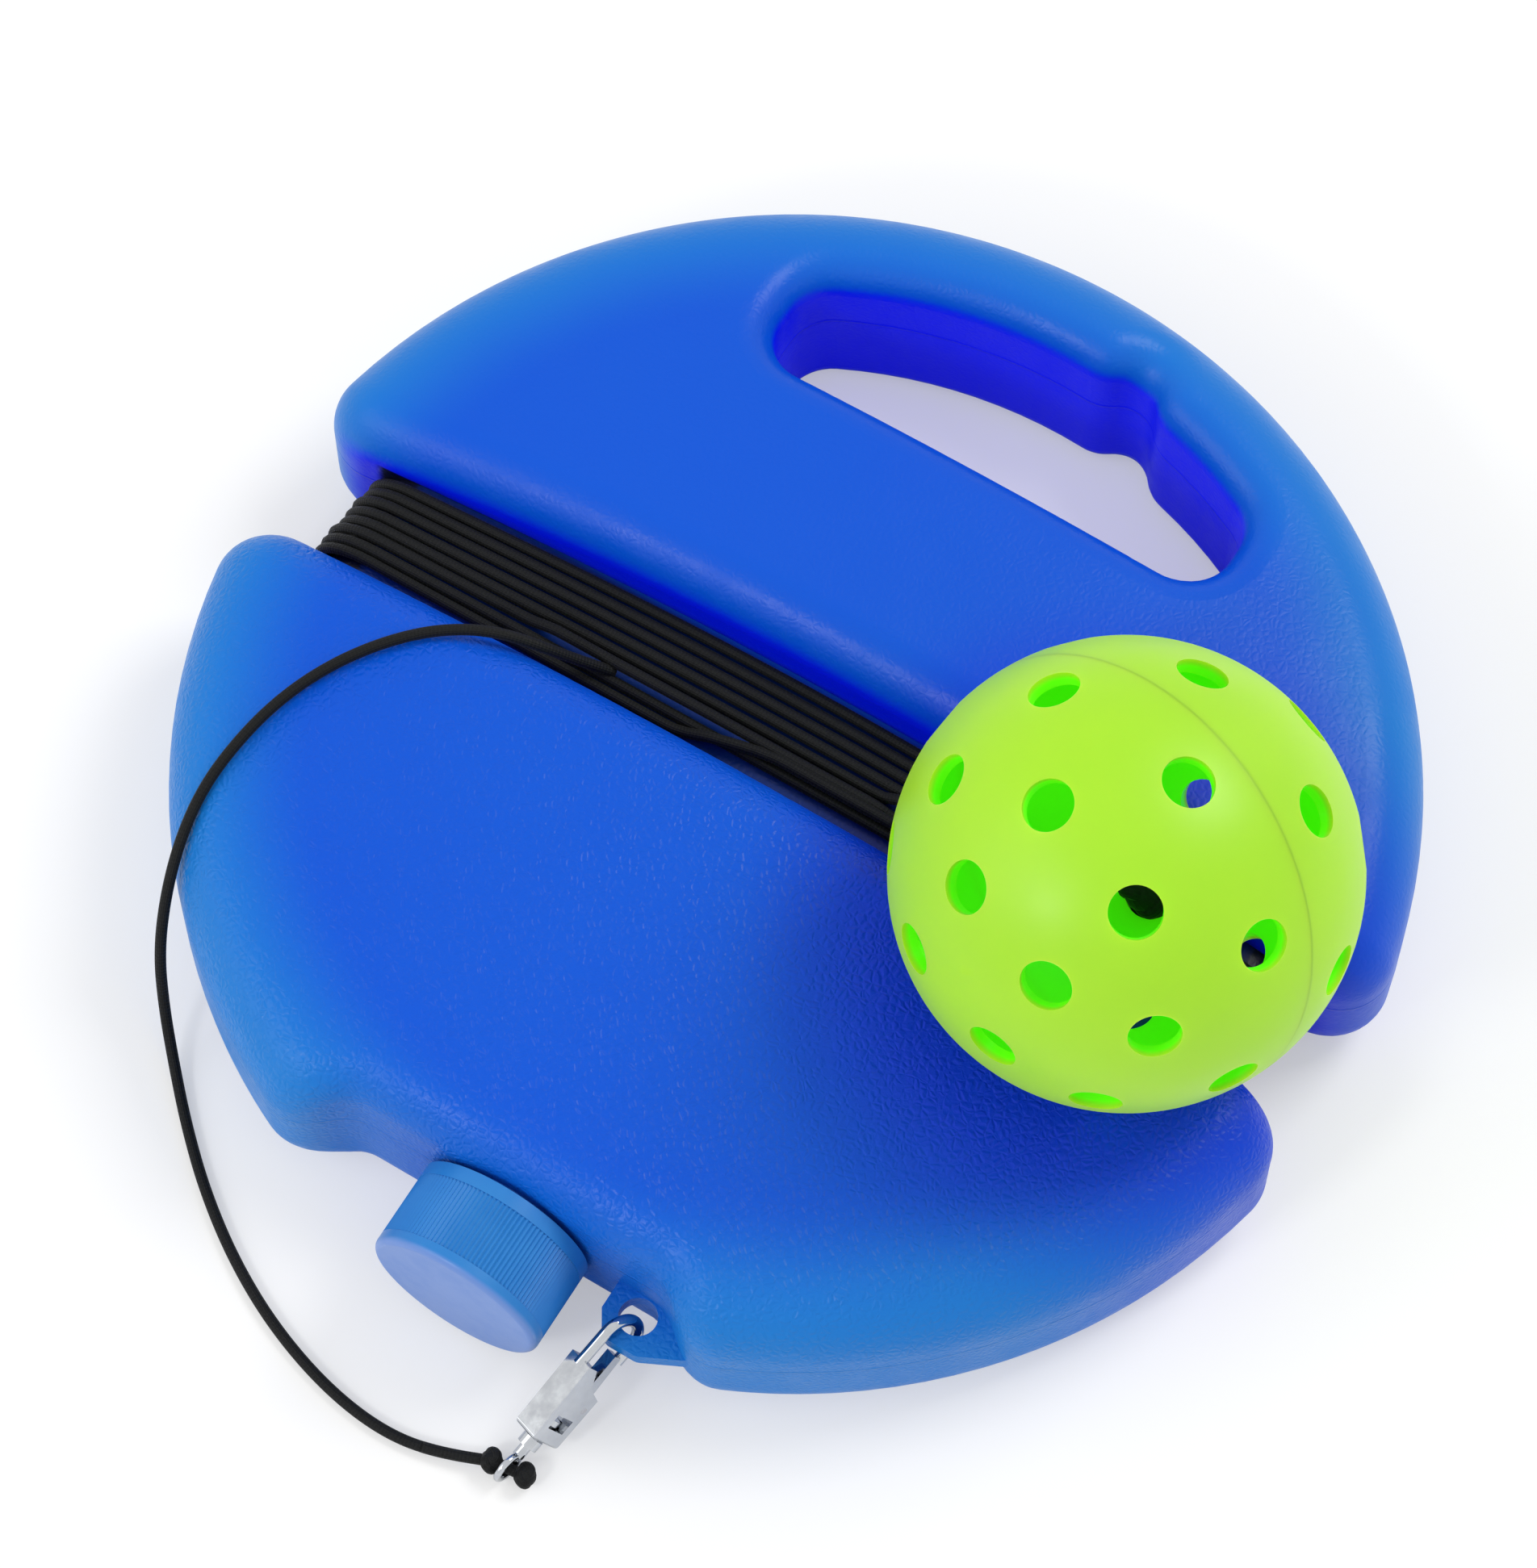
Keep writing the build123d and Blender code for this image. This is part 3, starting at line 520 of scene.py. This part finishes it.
def spline_points(route, step):
    """Points of a smooth NURBS line through the neighbourhood of the route's points."""
    curve = bpy.data.curves.new("route", "CURVE")
    curve.dimensions = "3D"
    curve.resolution_u = 24
    spline = curve.splines.new("NURBS")
    spline.points.add(len(route) - 1)
    for point, place in zip(spline.points, route):
        point.co = (*[c * MM for c in place], 1)
    spline.order_u = 3
    spline.use_endpoint_u = True
    holder = bpy.data.objects.new("route", curve)
    bpy.context.scene.collection.objects.link(holder)
    bpy.context.view_layer.update()
    mesh = bpy.data.meshes.new_from_object(holder)
    points = [v.co.copy() for v in mesh.vertices]
    bpy.data.objects.remove(holder)
    bpy.data.meshes.remove(mesh)
    return respaced(points, step)


tail_points = spline_points(TAIL_ROUTE, 0.7 * MM)
cut = round(len(tail_points) * TAIL_END_SHARE)
tail = tube("tail_cord", tail_points[: cut + 1], CORD_RADIUS, 14, black)
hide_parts("cord_tail")
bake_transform(tail)
KNOT_NEAR = Vector((16.571, -120.155, 2.4)) * MM
KNOT_FAR = Vector((22.429, -119.445, 2.4)) * MM
tail_end = tube("tail_cord_end", tail_points[cut:] + [KNOT_NEAR], CORD_RADIUS, 14, black)
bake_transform(tail_end)

# ---------------------------------------------------------------- winding
random.seed(7)
TURN_STEP = (LAST_TURN_Y - FIRST_TURN_Y) / (TURNS - 1)
FIRST_END_X = -33 * MM       # where the free length leaves the first turn
LAST_END_X = 62 * MM         # where the last turn rises into the ball
BUNDLE_OUT = 0.7 * MM        # each bundle of three turns stands this much further out at the left
# Turns that wander over their neighbours on the top run: turn, from x, to x, sideways, layers up.
WANDERERS = {
    1: (-22, 50, 3.6, 1.0),
    3: (-54, 24, -0.2, 1.0),
    4: (14, 58, 2.2, 1.0),
}


def turn_y(turn):
    """Place of a turn across the groove: three bundles of three, with small gaps between them."""
    gap = 0.22 * MM * (turn // 3 - 1)
    return FIRST_TURN_Y + turn * (TURN_STEP - 0.05 * MM) + gap


def winding_points():
    points = []
    for turn in range(TURNS):
        out = BUNDLE_OUT * (2 - turn // 3)
        wobble = [random.uniform(-1, 1) for _ in range(4)]
        here, there = turn_y(turn), turn_y(min(turn + 1, TURNS - 1))
        first_x = -CORE_END_X if turn else FIRST_END_X
        last_x = CORE_END_X if turn < TURNS - 1 else LAST_END_X
        count = 80
        for i in range(count + 1):
            x = first_x + (last_x - first_x) * i / count
            share = (x + CORE_END_X) / (2 * CORE_END_X)
            arch = math.sin(math.pi * share)
            y = here + arch * (turn * 0.38 + 0.14 * wobble[0]) * MM
            z = CORE_MIDDLE_Z + WIND_RADIUS
            if turn in WANDERERS:
                start, end, sideways, layers = WANDERERS[turn]
                run = (end - start) * MM
                lift = ramp_up_down(x, start * MM, start * MM + run * 0.3, end * MM - run * 0.3, end * MM)
                y += sideways * MM * lift
                z += layers * CORD_DIAMETER * 0.92 * smooth(lift * 3)
            points.append(Vector((x, y, z)))
        if turn == TURNS - 1:
            break
        for i in range(1, 12):
            a = math.pi / 2 - math.pi * i / 12
            x = CORE_END_X + WIND_RADIUS * math.cos(a)
            points.append(Vector((x, here, CORE_MIDDLE_Z + WIND_RADIUS * math.sin(a))))
        for i in range(41):
            share = i / 40
            x = CORE_END_X - 2 * CORE_END_X * share
            y = here + (there - here) * smooth(share)
            points.append(Vector((x, y, CORE_MIDDLE_Z - WIND_RADIUS)))
        next_out = BUNDLE_OUT * (2 - (turn + 1) // 3)
        for i in range(1, 12):
            a = -math.pi / 2 - math.pi * i / 12
            x = -CORE_END_X + (WIND_RADIUS + max(out, next_out)) * math.cos(a)
            points.append(Vector((x, there, CORE_MIDDLE_Z + WIND_RADIUS * math.sin(a))))
    return respaced(points, 1.2 * MM)


winding = tube("wound_cord", winding_points(), CORD_RADIUS, 12, black)
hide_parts("cord_winding")
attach(winding, "base")

# ---------------------------------------------------------------- knots
LEAD_X = 62.22 * MM
LEAD_Y = 6.57 * MM
LEAD_LOW = 29.05 * MM
LEAD_HIGH = 33.91 * MM
lead_points = [Vector((LEAD_X, LEAD_Y, LEAD_LOW + (LEAD_HIGH - LEAD_LOW) * i / 24)) for i in range(25)]
lead = tube("ball_cord", lead_points, CORD_RADIUS, 14, black)
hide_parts("ball_lead")
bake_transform(lead)


def knot_lump(name, centre, axis, radius, strand, extra=()):
    """A pulled-tight knot: a trefoil loop of the cord round a small core, its axis along axis."""
    turn = axis.normalized().to_track_quat("Z", "Y").to_matrix()
    scale = (radius - strand) / 3.0
    loop = []
    for i in range(97):
        t = 2 * math.pi * i / 96
        flat = Vector(
            (
                math.sin(t) + 2 * math.sin(2 * t),
                math.cos(t) - 2 * math.cos(2 * t),
                -1.35 * math.sin(3 * t),
            )
        )
        loop.append(centre + turn @ (flat * scale))
    verts, faces, uvs = [], [], []
    add_tube(loop, strand, 14, verts, faces, uvs, capped=False)
    core = radius * 0.8
    rings = 10
    steps = [math.pi * (i + 0.5) / rings for i in range(rings)]
    poles = [centre + turn @ Vector((0, 0, core * math.cos(step))) for step in steps]
    base = len(verts)
    sides = 16
    for i, pole in enumerate(poles):
        wide = core * math.sin(math.pi * (i + 0.5) / rings)
        for k in range(sides):
            a = 2 * math.pi * k / sides
            verts.append(pole + turn @ Vector((wide * math.cos(a), wide * math.sin(a), 0)))
    for i in range(rings - 1):
        for k in range(sides):
            n = (k + 1) % sides
            low = base + i * sides
            faces.append((low + k, low + sides + k, low + sides + n, low + n))
            uvs.append(((i * 0.1, k / sides), (i * 0.1 + 0.1, k / sides)) * 2)
    faces.append(tuple(base + k for k in range(sides)))
    faces.append(tuple(base + (rings - 1) * sides + sides - 1 - k for k in range(sides)))
    uvs.append(tuple((0, k / sides) for k in range(sides)))
    uvs.append(tuple((1, k / sides) for k in range(sides)))
    for line in extra:
        add_tube(line, CORD_RADIUS, 14, verts, faces, uvs)
    lump = mesh_object(name, verts, faces, uvs, black)
    return lump


KNOT_RADIUS = 2.35 * MM
KNOT_STRAND = 0.95 * MM
across_eye = KNOT_FAR - KNOT_NEAR
through = [KNOT_NEAR.lerp(KNOT_FAR, i / 12) for i in range(13)]
near_knot = knot_lump("eye_knot_near", KNOT_NEAR, across_eye, KNOT_RADIUS, KNOT_STRAND, [through])
far_knot = knot_lump("eye_knot_far", KNOT_FAR, across_eye, KNOT_RADIUS, KNOT_STRAND)
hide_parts("cord_end_knots")
for knot in (near_knot, far_knot):
    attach(knot, "eye")

low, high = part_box("ball_knot")
ball_knot = knot_lump("ball_stop_knot", (low + high) / 2, Vector((0, 0.2, 1)), (high - low).x / 2, 1.6 * MM)
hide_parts("ball_knot")
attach(ball_knot, "ball")

# ---------------------------------------------------------------- floor and light
floor_mesh = bpy.data.meshes.new("floor")
FLOOR_HALF = 4.0
floor_mesh.from_pydata(
    [
        (-FLOOR_HALF, -FLOOR_HALF, 0),
        (FLOOR_HALF, -FLOOR_HALF, 0),
        (FLOOR_HALF, FLOOR_HALF, 0),
        (-FLOOR_HALF, FLOOR_HALF, 0),
    ],
    [],
    [(0, 1, 2, 3)],
)
floor = bpy.data.objects.new("floor", floor_mesh)
bpy.context.scene.collection.objects.link(floor)
floor_material, floor_tree, floor_shader = shader("floor", Roughness=0.9, Specular_IOR_Level=0.1)
floor_shader.inputs["Base Color"].default_value = (0.97, 0.97, 0.965, 1)
paper = add_node(floor_tree, "Emission", {"Color": (1, 1, 1, 1), "Strength": 1.0})
floor_rays = floor_tree.nodes.new("ShaderNodeLightPath")
PAPER_SHARE = 0.4            # how far the floor's shade is lifted to plain white for the camera
share = math_node(floor_tree, "MULTIPLY", floor_rays.outputs["Is Camera Ray"], PAPER_SHARE)
lifted = add_node(floor_tree, "MixShader", {0: share, 1: floor_shader.outputs[0], 2: paper.outputs[0]})
floor_tree.links.new(lifted.outputs[0], floor_tree.nodes["Material Output"].inputs[0])
floor_mesh.materials.append(floor_material)

world = bpy.data.worlds.new("studio")
bpy.context.scene.world = world
world.use_nodes = True
world_tree = world.node_tree
for old in list(world_tree.nodes):
    world_tree.nodes.remove(old)
LIGHT_LEVEL = 0.62
soft = add_node(world_tree, "Background", {"Color": (1.0, 1.0, 1.0, 1), "Strength": LIGHT_LEVEL})
white = add_node(world_tree, "Background", {"Color": (1, 1, 1, 1), "Strength": 1.0})
rays = world_tree.nodes.new("ShaderNodeLightPath")
either = math_node(world_tree, "MAXIMUM", rays.outputs["Is Camera Ray"], rays.outputs["Is Glossy Ray"])
either = math_node(world_tree, "MAXIMUM", either, rays.outputs["Is Transmission Ray"])
blend_rays = add_node(world_tree, "MixShader", {0: either, 1: soft.outputs[0], 2: white.outputs[0]})
world_out = world_tree.nodes.new("ShaderNodeOutputWorld")
world_tree.links.new(blend_rays.outputs[0], world_out.inputs[0])


def softbox(name, place, target, size, watts, colour=(1, 1, 1)):
    data = bpy.data.lights.new(name, "AREA")
    data.shape = "SQUARE"
    data.size = size
    data.energy = watts
    data.color = colour
    lamp = bpy.data.objects.new(name, data)
    lamp.location = place
    lamp.rotation_mode = "QUATERNION"
    lamp.rotation_quaternion = (Vector(target) - Vector(place)).to_track_quat("-Z", "Y")
    bpy.context.scene.collection.objects.link(lamp)


softbox("key", (0.45, 0.75, 1.15), (0, 0, 0.02), 0.6, 8.4)
softbox("lip", (-0.25, -0.85, 0.75), (0, 0, 0.02), 0.2, 2.4)
softbox("fill", (-0.85, -0.75, 0.75), (0, 0, 0.02), 0.8, 3.6)

bpy.context.scene.view_settings.view_transform = "Standard"
